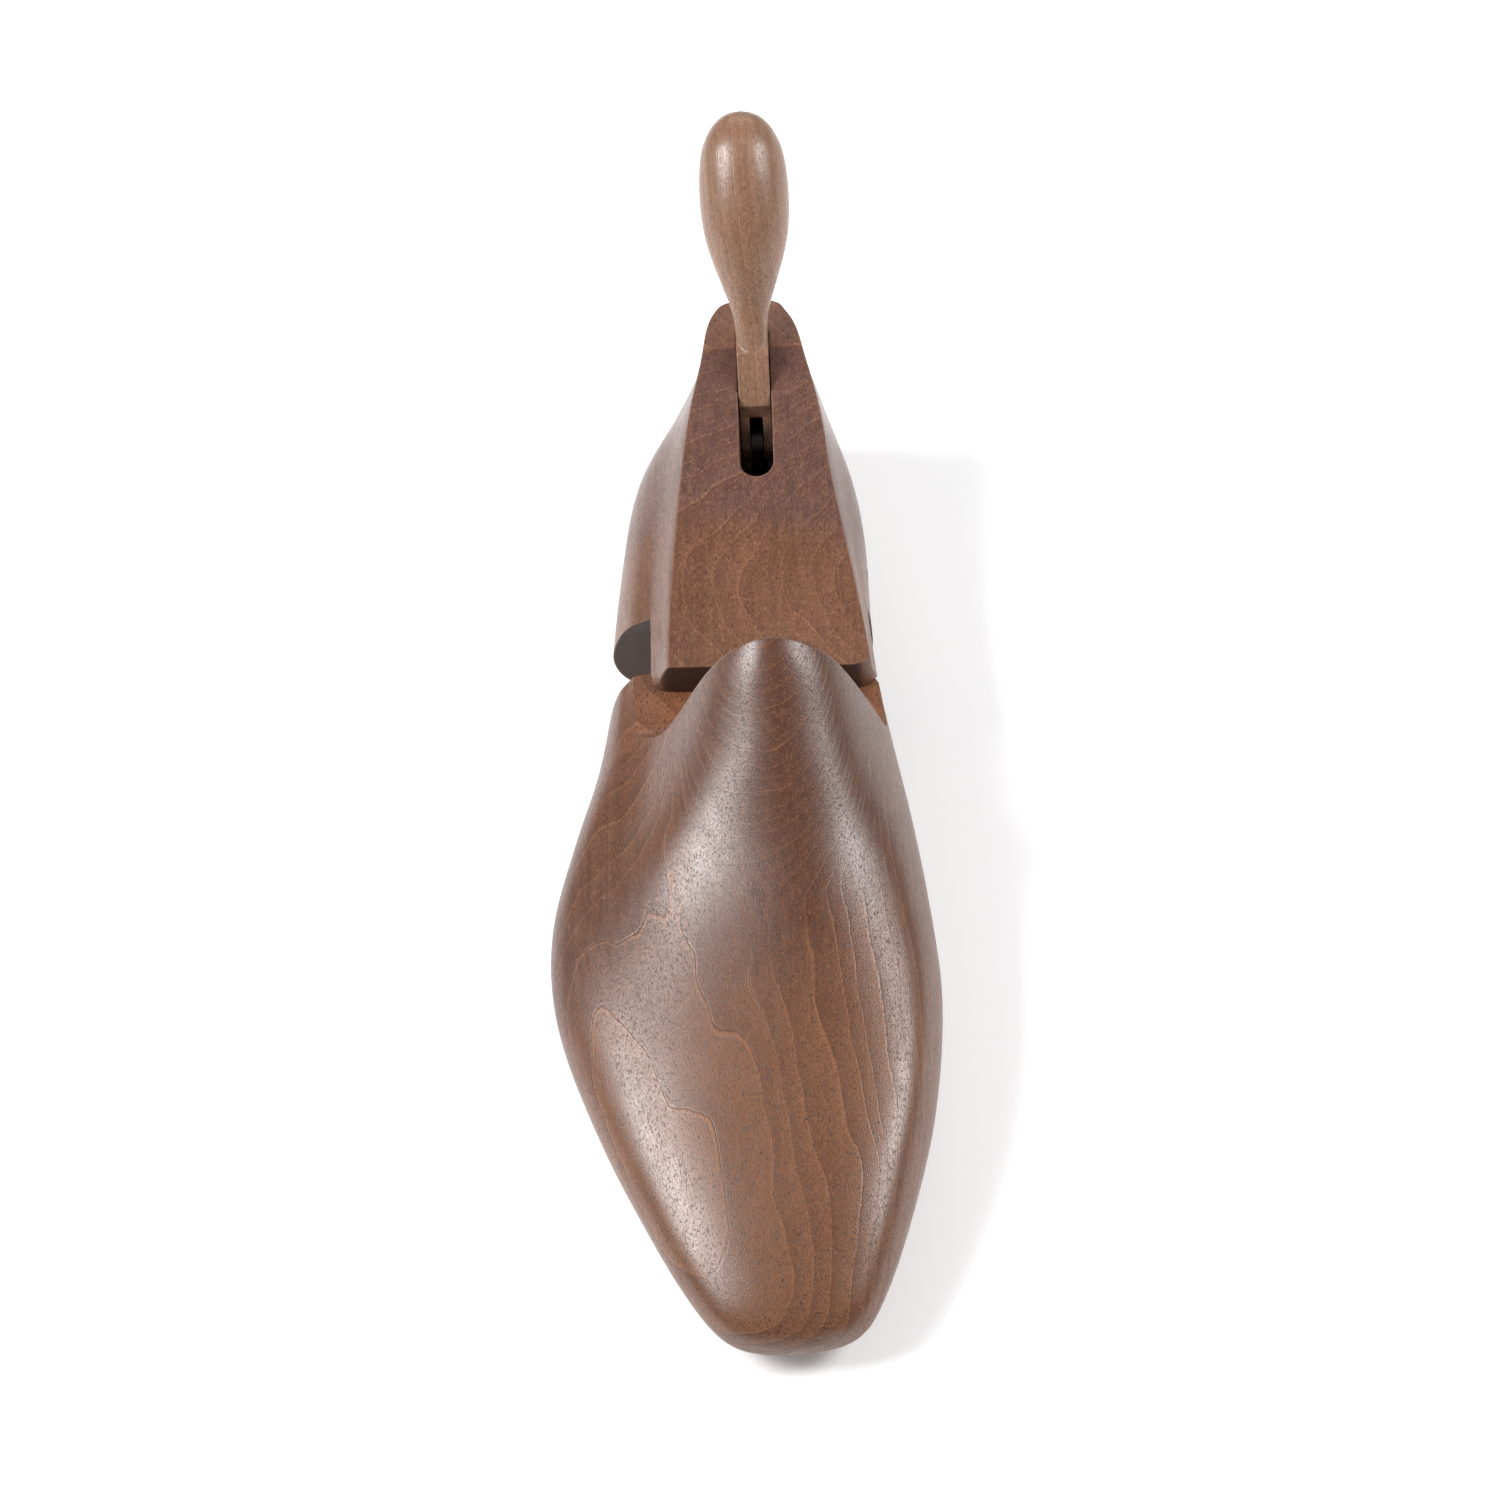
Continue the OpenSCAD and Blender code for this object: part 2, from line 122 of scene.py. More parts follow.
# Stations of the last. Each row holds: distance from the heel; bottom height; height of the widest
# line; lateral half width and three points up the lateral flank; medial half width and three points
# up the medial flank; side offset and height of the top.
HEEL_ROWS = [
    [0, 9, 24, 0.3, 0.3, 38, 0.3, 52, 0.3, 66, 0.3, 0.3, 38, 0.3, 52, 0.3, 66, 0, 73],
    [1.2, 5.8, 23, 8, 7.2, 38, 6.8, 52, 6.9, 67, 6.8, 6.4, 38, 6.2, 52, 6.1, 67, 0, 73],
    [5, 2.4, 22, 16.6, 13.4, 38, 10.9, 52, 9.5, 67, 12.4, 11.2, 38, 9.6, 52, 8.3, 67, 0, 73],
    [12, 0.2, 22, 24.6, 18.4, 38, 13.9, 52, 11.3, 67, 18.3, 16, 38, 13, 52, 10.7, 67, 0, 73],
    [24, -0.5, 21, 30.4, 23.4, 38, 16.4, 51.5, 12.3, 67, 22.6, 18.7, 38, 15.6, 51.5, 12.4, 67, 0, 73],
    [40, -0.6, 20, 35.6, 31.2, 36, 22.5, 48, 14, 63, 26, 23.4, 36, 19.8, 48, 14.8, 63, 0, 69],
    [60, 0.2, 20, 38.2, 34.6, 34, 26, 44, 16.8, 57, 27.8, 26.6, 34, 23.2, 44, 16.8, 57, 0, 63],
    [90, 5, 19, 40.8, 35.8, 32, 27.8, 38.8, 21.4, 50, 28.4, 27.7, 34, 25.8, 42, 21.9, 51, 0, 57],
    [125, 7, 19, 41.2, 36.2, 32, 27.7, 38.2, 21.9, 49, 31, 30.4, 34, 28.6, 42, 25.6, 51, 0, 56]]
FORE_ROWS = [
    [100, 6.5, 21, 39.2, 36.8, 32.5, 30.5, 39.5, 11, 66, 28.9, 28.6, 36, 25.4, 52, 16, 71, 3, 79],
    [118, 7, 21, 41.2, 38.2, 32.5, 31, 39.5, 11, 67, 30.2, 29.6, 36, 26, 52, 16.4, 72, 3, 80],
    [136, 6, 21, 44.2, 39.8, 32, 25.4, 42.5, 10.8, 69.5, 33.4, 32, 36, 26.8, 52, 17, 72, 3, 79.5],
    [156, 3.8, 20, 49.6, 45.2, 30, 31, 38, 13, 57.5, 36.8, 35.2, 33, 29.2, 46, 18, 61, 3, 66.5],
    [180, 1.2, 18, 54.7, 50.8, 26, 38.2, 33.5, 17.5, 44.5, 39.8, 38.4, 29, 32.4, 39.5, 19, 48, 4, 50.5],
    [205, -0.5, 16, 53, 49.6, 23.5, 38.4, 30.5, 18, 37.5, 41.4, 40.2, 26, 34.6, 34.5, 21, 40, 5, 41],
    [235, 0.8, 15, 42.9, 40.2, 22, 31.6, 27.5, 15.5, 32, 38.2, 37.2, 23.5, 32.4, 30.2, 20.5,
        33.6, 6, 34.2],
    [262, 3, 14, 30.6, 28.8, 20, 22.4, 24.2, 10.5, 27.4, 31.2, 30.2, 21, 25.8, 25.8, 17, 28.4, 6, 28.8],
    [280, 5.5, 13, 20.9, 19.4, 17.6, 14.8, 20.6, 6, 22.8, 24.9, 23.8, 18, 20.2, 21.3, 13.4, 23, 5, 23.4],
    [289.6, 7.2, 12.5, 13.4, 12.2, 15.8, 9, 17.8, 2.8, 19.2, 19.4, 18.4, 16, 15.4, 18.2, 10.4,
        19.3, 4, 19.6],
    [293.3, 9.2, 12.5, 5, 4.6, 14, 2.8, 15, -0.4, 15.8, 11.6, 11, 14.2, 9.2, 15.2, 6.6, 15.8, 3.4, 16],
    [294.3, 12, 12.3, -2.9, -2.9, 12.4, -2.9, 12.5, -3, 12.6, 3.3, 3.3, 12.4, 3.3, 12.5, 3.2,
        12.6, 3.1, 12.7]]
# profile of the lever: distance from the knob's end, and radius
KNOB = [[62.8, 4.2], [55, 4.5], [50.5, 5.5], [46.8, 6.8], [43, 8.1], [38.5, 9.6], [33, 11], [27, 11.75],
        [21.5, 11.9], [15.5, 11.6], [9.7, 10.6], [4.9, 8.4], [1.9, 5.7], [0.5, 3], [0, 0]]


# ---------------------------------------------------------------------------------------------
# Meshes
# ---------------------------------------------------------------------------------------------
def smooth(a, b, c, d, t):
    """Smooth value between b and c, with a and d as the values before and after them."""
    return b + 0.5 * t * (c - a + t * (2 * a - 5 * b + 4 * c - d + t * (3 * (b - c) + d - a)))


def section(r):
    """One closed section as side and height, from the bottom up the medial side and down the other."""
    h = r[2] - r[1]
    return np.array([
        [r[17] * 0.5, r[1]], [0.45 * r[10], r[1]], [0.78 * r[10], r[1] + 0.06 * h],
        [0.95 * r[10], r[1] + 0.34 * h], [r[10], r[2]], [r[11], r[12]], [r[13], r[14]],
        [r[15], r[16]], [r[17], r[18]], [-r[8], r[9]], [-r[6], r[7]], [-r[4], r[5]],
        [-r[3], r[2]], [-0.95 * r[3], r[1] + 0.34 * h], [-0.78 * r[3], r[1] + 0.06 * h],
        [-0.45 * r[3], r[1]]])


def skin(rows, turn_start, around, along, soften):
    """Grid of points (ring, point, side-at-z) through the stations. The end of the last is rounded
    off by turning the stations over: the first end if turn_start, else the other."""
    rows = [np.array(r, float) for r in rows]

    def turned(row, end):
        out = 2 * end - row
        out[0] = row[0]
        return out

    first = turned(rows[1], rows[0]) if turn_start else 2 * rows[0] - rows[1]
    last = 2 * rows[-1] - rows[-2] if turn_start else turned(rows[-2], rows[-1])
    rows = [first] + rows + [last]
    grid = []
    for i in range(1, len(rows) - 2):
        for j in range(along + (1 if i == len(rows) - 3 else 0)):
            r = smooth(rows[i - 1], rows[i], rows[i + 1], rows[i + 2], j / along)
            p = section(r)
            n = len(p)
            ring = [smooth(p[k - 1], p[k], p[(k + 1) % n], p[(k + 2) % n], m / around)
                    for k in range(n) for m in range(around)]
            ring = np.array(ring)
            grid.append(np.column_stack([ring[:, 0], np.full(len(ring), r[0]), ring[:, 1]]))
    grid = np.array(grid)
    for _ in range(soften):
        grid = 0.25 * np.roll(grid, 1, 1) + 0.5 * grid + 0.25 * np.roll(grid, -1, 1)
        grid[1:-1] = 0.25 * grid[:-2] + 0.5 * grid[1:-1] + 0.25 * grid[2:]
    at, z = grid[..., 1], grid[..., 2]
    if turn_start:
        # the back of the heel leans forward above and below its widest line
        fade = np.clip(1 - at / 45, 0, 1) ** 1.5
        up = 3.5 * (np.clip(z - 26, 0, None) / 37.5) ** 1.5
        down = 7 * (np.clip(26 - z, 0, None) / 26) ** 2.2
        grid[..., 1] = at + fade * (up + down)
    return grid


def to_object(name, verts, faces):
    """verts hold side, at, z in millimetres; the mesh is placed in the row frame, in millimetres."""
    v = np.array(verts, float)
    v = np.column_stack([v[:, 0] + SIDE0, BACK - v[:, 1], v[:, 2]])
    me = bpy.data.meshes.new(name)
    me.from_pydata(v.tolist(), [], faces)
    me.validate()
    me.update()
    ob = bpy.data.objects.new(name, me)
    bpy.context.scene.collection.objects.link(ob)
    return ob


def outward(ob):
    bm = bmesh.new()
    bm.from_mesh(ob.data)
    bmesh.ops.recalc_face_normals(bm, faces=bm.faces)
    bm.to_mesh(ob.data)
    bm.free()
    return ob


def grid_object(name, grid):
    """Closed mesh through rings of points; each end is closed with strips from one side to the other."""
    m, n = grid.shape[:2]
    faces = []
    for start in (0, (m - 1) * n):
        faces += [[start, start + 1, start + n - 1], [start + n // 2 - 1, start + n // 2, start + n // 2 + 1]]
        faces += [[start + k, start + k + 1, start + n - k - 1, start + n - k] for k in range(1, n // 2 - 1)]
    for i in range(m - 1):
        for j in range(n):
            k = (j + 1) % n
            faces.append([i * n + j, i * n + k, (i + 1) * n + k, (i + 1) * n + j])
    return outward(to_object(name, grid.reshape(-1, 3), faces))


def prism(name, ring0, ring1):
    n = len(ring0)
    faces = [list(range(n)), list(range(n, 2 * n))]
    faces += [[i, (i + 1) % n, n + (i + 1) % n, n + i] for i in range(n)]
    return outward(to_object(name, list(ring0) + list(ring1), faces))


def box(at, side, z):
    """Box between two distances from the heel, two sides and two heights."""
    ring = [[side[0], at[0]], [side[1], at[0]], [side[1], at[1]], [side[0], at[1]]]
    return prism("cut", [p + [z[0]] for p in ring], [p + [z[1]] for p in ring])


def across(at, z, r, side, n=64):
    """Cylinder across the last, between two sides."""
    ring = [[at + r * math.cos(a), z + r * math.sin(a)]
            for a in np.linspace(0, 2 * math.pi, n, endpoint=False)]
    return prism("cut", [[side[0]] + p for p in ring], [[side[1]] + p for p in ring])


def plate(points, side):
    """Prism across the last from a side view of [at, z] points."""
    return prism("plate", [[side[0], p[0], p[1]] for p in points],
                 [[side[1], p[0], p[1]] for p in points])


def plan(points, z):
    """Upright prism from a plan of [side, at] points."""
    return prism("plan", [[p[0], p[1], z[0]] for p in points],
                 [[p[0], p[1], z[1]] for p in points])


def arc(cx, cy, r, a0, a1, n=24):
    return [[cx + r * math.cos(math.radians(a)), cy + r * math.sin(math.radians(a))]
            for a in np.linspace(a0, a1, n)]


def boolean(ob, other, operation):
    mod = ob.modifiers.new("b", "BOOLEAN")
    mod.object = other
    mod.operation = operation
    mod.solver = "EXACT"
    graph = bpy.context.evaluated_depsgraph_get()
    me = bpy.data.meshes.new_from_object(ob.evaluated_get(graph))
    ob.modifiers.remove(mod)
    old = ob.data
    ob.data = me
    bpy.data.meshes.remove(old)
    data = other.data
    bpy.data.objects.remove(other)
    bpy.data.meshes.remove(data)
    return ob


def finish_piece(ob, name, body, nodes, angle=35):
    """Scales the mesh to metres, shades it and hands it to the frame."""
    ob.name = name
    ob.data.name = name
    ob.data.transform(Matrix.Scale(MM, 4))
    ob.data.shade_smooth()
    ob.data.set_sharp_from_angle(angle=math.radians(angle))
    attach(ob, body)
    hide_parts(*nodes)
    return ob


FINE = 2
heel_grid = skin(HEEL_ROWS, True, 5 * FINE, 6 * FINE, 3 * FINE)
fore_grid = skin(FORE_ROWS, False, 5 * FINE, 6 * FINE, 3 * FINE)


def heel_block():
    ob = grid_object("heel", heel_grid)
    lateral, medial = TONGUE_HALF
    r1, r2 = TONGUE_R
    outline = ([[-60, 0], [-60, TONGUE_END - 20], [-lateral, TONGUE_END - 20]]
               + arc(-lateral + r1, TONGUE_END - r1, r1, 180, 90)
               + arc(medial - r2, TONGUE_END - r2, r2, 90, 0)
               + [[medial, TONGUE_END - 20], [60, TONGUE_END - 20], [60, 0]])
    c, s = math.cos(TONGUE_SKEW), math.sin(TONGUE_SKEW)
    tongue = [[x * c - (y - TONGUE_END) * s, TONGUE_END + x * s + (y - TONGUE_END) * c]
              for x, y in outline]
    boolean(ob, plan(tongue, [-10, 90]), "INTERSECT")

    # the long hollow in the top, from the crease to the tongue's end
    hollow_z = TONGUE_Z + HOLLOW_R
    hollow_at = CREASE + math.sqrt(HOLLOW_R ** 2 - (hollow_z - TOP_Z) ** 2)
    hollow = [[at, hollow_z - math.sqrt(HOLLOW_R ** 2 - (hollow_at - at) ** 2)]
              for at in np.linspace(CREASE, 130, 60)]
    boolean(ob, plate([[-20, 120], [-20, TOP_Z]] + hollow + [[130, 120]], [-60, 60]), "DIFFERENCE")

    under = SHELF_Z + TONGUE_GAP
    below = -16
    face = [[ARCH_AT - ARCH_R * math.cos(a), ARCH_Z + ARCH_R * math.sin(a)]
            for a in np.linspace(math.asin((under - ARCH_Z) / ARCH_R),
                                 math.asin((below - ARCH_Z) / ARCH_R), 24)]
    boolean(ob, plate([[160, under]] + face + [[160, below]], [-60, 60]), "DIFFERENCE")
    boolean(ob, box([-20, 130], [-60, 60], [-5, 0]), "DIFFERENCE")

    h = SLOT_W / 2
    slot = arc(0, SLOT_FRONT - h, h, 0, 180, 32) + arc(0, SLOT_REAR + h, h, 180, 360, 32)
    boolean(ob, plan(slot, [SLOT_FLOOR, 90]), "DIFFERENCE")
    width = [-CHANNEL_HALF, CHANNEL_HALF]
    boolean(ob, box(EYE_ROOM, width, [BAR_Z - CHANNEL_RISE, SLOT_FLOOR + 1]), "DIFFERENCE")
    boolean(ob, box(CHANNEL, width, [BAR_Z - CHANNEL_RISE, BAR_Z + CHANNEL_RISE]), "DIFFERENCE")
    boolean(ob, across(GUIDE_AT, BAR_Z, GUIDE_R, [GUIDE_START, 40]), "DIFFERENCE")
    boolean(ob, across(PIVOT_AT, PIVOT_Z, PLUG_R, [PLUG_START, 40]), "DIFFERENCE")
    return finish_piece(ob, "heel_wood", "heel", ["heel_block"], 13)


def forepart():
    ob = grid_object("fore", fore_grid)
    r1, r2 = REAR_R
    k = math.sqrt(1 + SPREAD ** 2)
    lat, med = REAR_HALF[0] - r1 * k, REAR_HALF[1] - r2 * k
    tilt = math.degrees(math.asin(SPREAD / k))
    rear = (arc(-lat, FORE_REAR + r1, r1, 180 + tilt, 270, 30)
            + arc(med, FORE_REAR + r2, r2, 270, 360 - tilt, 30)
            + [[FAR, FORE_REAR + r2 * (1 - SPREAD / k)], [FAR, 320],
               [-FAR, 320], [-FAR, FORE_REAR + r1 * (1 - SPREAD / k)]])
    boolean(ob, plan(rear, [-10, 100]), "INTERSECT")
    boolean(ob, box([90, 300], [-FAR, FAR], [-5, 0]), "DIFFERENCE")

    # the shelf and the upright back of the instep, joined by a fillet
    f = INSTEP_FILLET
    corner = [[INSTEP_BACK - f + f * math.cos(a), SHELF_Z + f - f * math.sin(a)]
              for a in np.linspace(0, math.pi / 2, 24)]
    boolean(ob, plate([[60, 120], [INSTEP_BACK, 120]] + corner + [[60, SHELF_Z]], [-FAR, FAR]),
            "DIFFERENCE")
    boolean(ob, box([60, MORTISE_END], [-MORTISE_HALF, MORTISE_HALF],
                    [BAR_Z - MORTISE_RISE, BAR_Z + MORTISE_RISE]), "DIFFERENCE")
    for node in ("bar_pin_rear", "bar_pin_front"):
        low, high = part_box(node)
        at = BACK - (low.y + high.y) / 2 / MM
        boolean(ob, across(at, BAR_Z, PLUG_R, [-FAR, low.x / MM - SIDE0]), "DIFFERENCE")
    return finish_piece(ob, "fore_wood", "fore", ["forepart"])


def plug(name, body, node, grid, far):
    """A plug of the CAD's bore, from its inner end out to the smooth skin at the far side."""
    low, high = (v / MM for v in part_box(node))
    inner = (high.x if far < 0 else low.x) - SIDE0
    at, z = BACK - (low.y + high.y) / 2, (low.z + high.z) / 2
    ob = across(at, z, (high.z - low.z) / 2, [min(inner, far), max(inner, far)])
    boolean(ob, grid_object("skin", grid), "INTERSECT")
    return finish_piece(ob, name, body, [node])


def lever():
    knob = []
    for i in range(len(KNOB) - 1):
        p = [np.array(KNOB[max(0, min(len(KNOB) - 1, i + k))], float) for k in (-1, 0, 1, 2)]
        knob += [smooth(*p, j / 6) for j in range(6)]
    half = STEM_D / 2
    profile = [[half, 1.0]] + [[p[1], LEVER_LEN - p[0]] for p in knob if p[1] > 0.2]
    axis = np.array([0, -math.cos(LEAN), math.sin(LEAN)])
    out = np.array([0, math.sin(LEAN), math.cos(LEAN)])
    side = np.array([1.0, 0, 0])
    origin = np.array([0, PIVOT_AT, PIVOT_Z])
    grid = [[origin + axis * p[1] + (side * math.cos(a) + out * math.sin(a)) * p[0]
             for a in np.linspace(0, 2 * math.pi, 96, endpoint=False)] for p in profile]
    ob = grid_object("lever", np.array(grid))

    # side view of the foot and the stem's square part, drawn from the pivot
    s, c = math.sin(LEAN), math.cos(LEAN)
    foot = ([[FOOT_FRONT, half / c - FOOT_FRONT * s / c], [FOOT_FRONT, FOOT_LOW]]
            + arc(LINK_AT - PIVOT_AT, LINK_Z - PIVOT_Z, LINK_R, 37, -161.5, 50)
            + arc(0, 0, FOOT_R, 198.5, FOOT_BACK, 10)
            + [[-c * SQUARE_UP - s * half, s * SQUARE_UP - c * half],
               [-c * SQUARE_OUT, s * SQUARE_OUT],
               [-c * SQUARE_UP + s * half, s * SQUARE_UP + c * half]])
    foot = [[PIVOT_AT + p[0], PIVOT_Z + p[1]] for p in foot]
    boolean(ob, plate(foot, [-half, half]), "UNION")
    front = box([PIVOT_AT + FOOT_FRONT, PIVOT_AT + 30], [-20, 20], [PIVOT_Z + FOOT_LOW, 90])
    boolean(ob, front, "DIFFERENCE")
    boolean(ob, across(LINK_AT, LINK_Z, KERF_R, [-KERF_HALF, KERF_HALF]), "DIFFERENCE")
    boolean(ob, across(PIVOT_AT, PIVOT_Z, PIVOT_HOLE_R, [-20, 20]), "DIFFERENCE")
    boolean(ob, across(LINK_AT, LINK_Z, LINK_HOLE_R, [-20, 20]), "DIFFERENCE")
    return finish_piece(ob, "lever_wood", "lever", ["lever_handle"], 40)


heel_wood = heel_block()
fore_wood = forepart()
lever_wood = lever()
plugs = [plug("pivot_plug_wood", "heel", "pivot_plug", heel_grid, 40),
         plug("bar_plug_rear_wood", "fore", "bar_plug_rear", fore_grid, -FAR),
         plug("bar_plug_front_wood", "fore", "bar_plug_front", fore_grid, -FAR)]


# ---------------------------------------------------------------------------------------------
# Materials
# ---------------------------------------------------------------------------------------------
class Graph:
    """Small helper that builds a shader tree."""

    def __init__(self, name):
        self.mat = bpy.data.materials.new(name)
        self.mat.use_nodes = True
        self.tree = self.mat.node_tree
        self.bsdf = self.tree.nodes["Principled BSDF"]

    def put(self, socket, value):
        if isinstance(value, bpy.types.NodeSocket):
            self.tree.links.new(value, socket)
        else:
            socket.default_value = value

    def math(self, op, a, b=0.0):
        node = self.tree.nodes.new("ShaderNodeMath")
        node.operation = op
        self.put(node.inputs[0], a)
        self.put(node.inputs[1], b)
        return node.outputs[0]

    def vmath(self, op, a, b=(0, 0, 0)):
        node = self.tree.nodes.new("ShaderNodeVectorMath")
        node.operation = op
        self.put(node.inputs[0], a)
        self.put(node.inputs[1], b)
        return node.outputs["Value"] if op == "DOT_PRODUCT" else node.outputs["Vector"]

    def mix(self, fac, a, b):
        node = self.tree.nodes.new("ShaderNodeMix")
        node.data_type = "RGBA"
        self.put(node.inputs[0], fac)
        self.put(node.inputs[6], a)
        self.put(node.inputs[7], b)
        return node.outputs[2]

    def ramp(self, value, low, high, out_low=0.0, out_high=1.0):
        """Eases from out_low to out_high as the value goes from low to high."""
        node = self.tree.nodes.new("ShaderNodeMapRange")
        node.interpolation_type = "SMOOTHSTEP"
        for i, v in enumerate((value, low, high, out_low, out_high)):
            self.put(node.inputs[i], v)
        return node.outputs[0]

    def noise(self, vector, scale, detail=2.0, rough=0.5):
        node = self.tree.nodes.new("ShaderNodeTexNoise")
        self.put(node.inputs["Vector"], vector)
        node.inputs["Scale"].default_value = scale
        node.inputs["Detail"].default_value = detail
        node.inputs["Roughness"].default_value = rough
        return node.outputs["Fac"]

    def line(self, value, centre, inner, outer):
        """1 within inner of the centre, fading to 0 at outer."""
        away = self.math("ABSOLUTE", self.math("SUBTRACT", value, centre))
        return self.math("SUBTRACT", 1.0, self.ramp(away, inner, outer))

    def millimetres(self, coord):
        """The object's own coordinates in millimetres."""
        mm = self.vmath("SCALE", coord.outputs["Object"])
        mm.node.inputs["Scale"].default_value = 1000.0
        return mm

    def bump(self, height, strength, distance):
        node = self.tree.nodes.new("ShaderNodeBump")
        node.inputs["Strength"].default_value = strength
        node.inputs["Distance"].default_value = distance
        self.put(node.inputs["Height"], height)
        return node


def rgb(r, g, b):
    return (r, g, b, 1.0)


def shade(colour, factor):
    return rgb(*(factor * c for c in colour[:3]))


def wood(name, stain, layers, period, grain, seed, line_amount, fleck=0.8, patches=(),
         crowd=(500.0, 0.0), ends=(1.0, 0.85)):
    """Stained beech. stain holds the dark, middle and light colours and the colour of the growth
    lines, layers is the direction across the growth layers, period their thickness in mm, grain the
    turn about X that brings the fibres to Y, patches pairs of a mask builder and a colour, crowd the
    height above which the layers lie closer and by how much, ends the way along the fibres that the
    cut ends face and how dark they are."""
    dark, mid, light, line = (rgb(*c) for c in stain)
    g = Graph(name)
    coord = g.tree.nodes.new("ShaderNodeTexCoord")
    mm = g.millimetres(coord)
    turn = g.tree.nodes.new("ShaderNodeVectorRotate")
    turn.rotation_type = "EULER_XYZ"
    g.put(turn.inputs["Vector"], mm)
    turn.inputs["Rotation"].default_value = (grain, 0.0, 0.0)
    local = turn.outputs["Vector"]
    p = g.vmath("ADD", local, (seed * 37.0, seed * 11.0, seed * 5.0))

    # growth layers: pale early wood, darkening late wood, a dark and then a light line between years
    above = g.math("SUBTRACT", g.vmath("DOT_PRODUCT", local, (0.0, 0.0, 1.0)), crowd[0])
    above = g.math("MAXIMUM", above, 0.0)
    flat = g.math("ADD", g.vmath("DOT_PRODUCT", local, layers), g.math("MULTIPLY", above, crowd[1]))
    stretched = g.vmath("MULTIPLY", p, (1.0, 0.45, 1.0))
    wander = g.math("SUBTRACT", g.noise(stretched, 0.045, 2.0), 0.5)
    ripple = g.math("SUBTRACT", g.noise(stretched, 0.40, 2.0), 0.5)
    ring = g.math("ADD", g.math("DIVIDE", flat, period),
                  g.math("ADD", g.math("MULTIPLY", wander, 2.4), g.math("MULTIPLY", ripple, 0.11)))
    ring = g.math("ADD", ring, g.math("MULTIPLY", g.math("SINE", g.math("MULTIPLY", ring, 1.9)), 0.2))
    part = g.math("FRACT", ring)
    late = g.ramp(part, 0.2, 0.95)
    gain = g.ramp(g.noise(g.vmath("MULTIPLY", p, (1, 0.5, 1)), 0.05, 2.0), 0.35, 0.6, 0.45, 1.0)
    # layers crossed in a millimetre of surface, so the lines keep their width however the skin cuts them
    normal_way = Matrix.Rotation(-grain, 3, "X") @ Vector(layers)
    lift = g.vmath("DOT_PRODUCT", coord.outputs["Normal"], tuple(normal_way))
    climb = g.math("SUBTRACT", normal_way.length_squared + (0.1 * period) ** 2,
                   g.math("MULTIPLY", lift, lift))
    slope = g.math("DIVIDE", g.math("SQRT", g.math("MAXIMUM", climb, 0.0)), period)
    slope = g.math("MINIMUM", g.math("MAXIMUM", slope, 0.05), 0.22)
    off = g.math("DIVIDE", g.math("SUBTRACT", g.math("FRACT", g.math("ADD", ring, 0.5)), 0.5), slope)
    edge = g.math("MULTIPLY", g.line(off, 0.28, 0.08, 0.32), gain)
    groove = g.math("MULTIPLY", g.line(off, -0.12, 0.04, 0.24), gain)

    # stain that took unevenly
    cloud = g.ramp(g.noise(g.vmath("MULTIPLY", p, (1, 0.5, 1)), 0.024, 3.0, 0.5), 0.32, 0.68)
    streak = g.ramp(g.noise(g.vmath("MULTIPLY", p, (1, 0.05, 1)), 0.7, 4.0, 0.6), 0.3, 0.7)
    colour = g.mix(cloud, dark, mid)
    for mask, tint in patches:
        colour = g.mix(mask(g, mm, coord), colour, tint)
    colour = g.mix(g.math("MULTIPLY", streak, 0.28), colour, light)
    colour = g.mix(g.math("MULTIPLY", late, 0.35), colour, dark)
    colour = g.mix(g.math("MULTIPLY", edge, line_amount), colour, line)
    colour = g.mix(g.math("MULTIPLY", groove, line_amount * 0.7), colour, shade(dark, 0.5))

    # short dark pores along the fibres, and finer pale dust between them
    dash = g.noise(g.vmath("MULTIPLY", p, (2.4, 0.75, 2.4)), 1.0, 3.0, 0.65)
    dark_dash = g.ramp(dash, 0.54, 0.68)
    pale_dash = g.ramp(dash, 0.46, 0.32)
    fine = g.ramp(g.noise(g.vmath("MULTIPLY", p, (4.0, 1.5, 4.0)), 1.0, 2.0, 0.7), 0.48, 0.66)
    colour = g.mix(g.math("MULTIPLY", dark_dash, fleck), colour, shade(dark, 0.45))
    colour = g.mix(g.math("MULTIPLY", pale_dash, fleck * 0.6), colour, light)
    colour = g.mix(g.math("MULTIPLY", fine, fleck * 0.75), colour, shade(dark, 0.6))

    # end grain drinks more stain
    along = g.vmath("DOT_PRODUCT", coord.outputs["Normal"], (0.0, math.cos(grain), -math.sin(grain)))
    end = g.ramp(g.math("MULTIPLY", along, ends[0]), 0.90, 0.985)
    colour = g.mix(g.math("MULTIPLY", end, ends[1]), colour, shade(dark, 0.35))

    # worn, paler edges, which also stand in for the thin highlights on the rounded edges: partly painted
    # highlight
    bevel = g.tree.nodes.new("ShaderNodeBevel")
    bevel.samples = 6
    bevel.inputs["Radius"].default_value = 0.0009
    geo = g.tree.nodes.new("ShaderNodeNewGeometry")
    bent = g.vmath("DOT_PRODUCT", bevel.outputs[0], geo.outputs["Normal"])
    worn_edge_highlight = g.ramp(bent, 0.995, 0.90)
    worn_edge_highlight = g.math("MULTIPLY", worn_edge_highlight, g.ramp(g.noise(p, 0.5, 3.0), 0.3, 0.6, 0.35, 1.0))
    colour = g.mix(g.math("MULTIPLY", worn_edge_highlight, 0.55), colour, light)
    g.put(g.bsdf.inputs["Base Color"], colour)

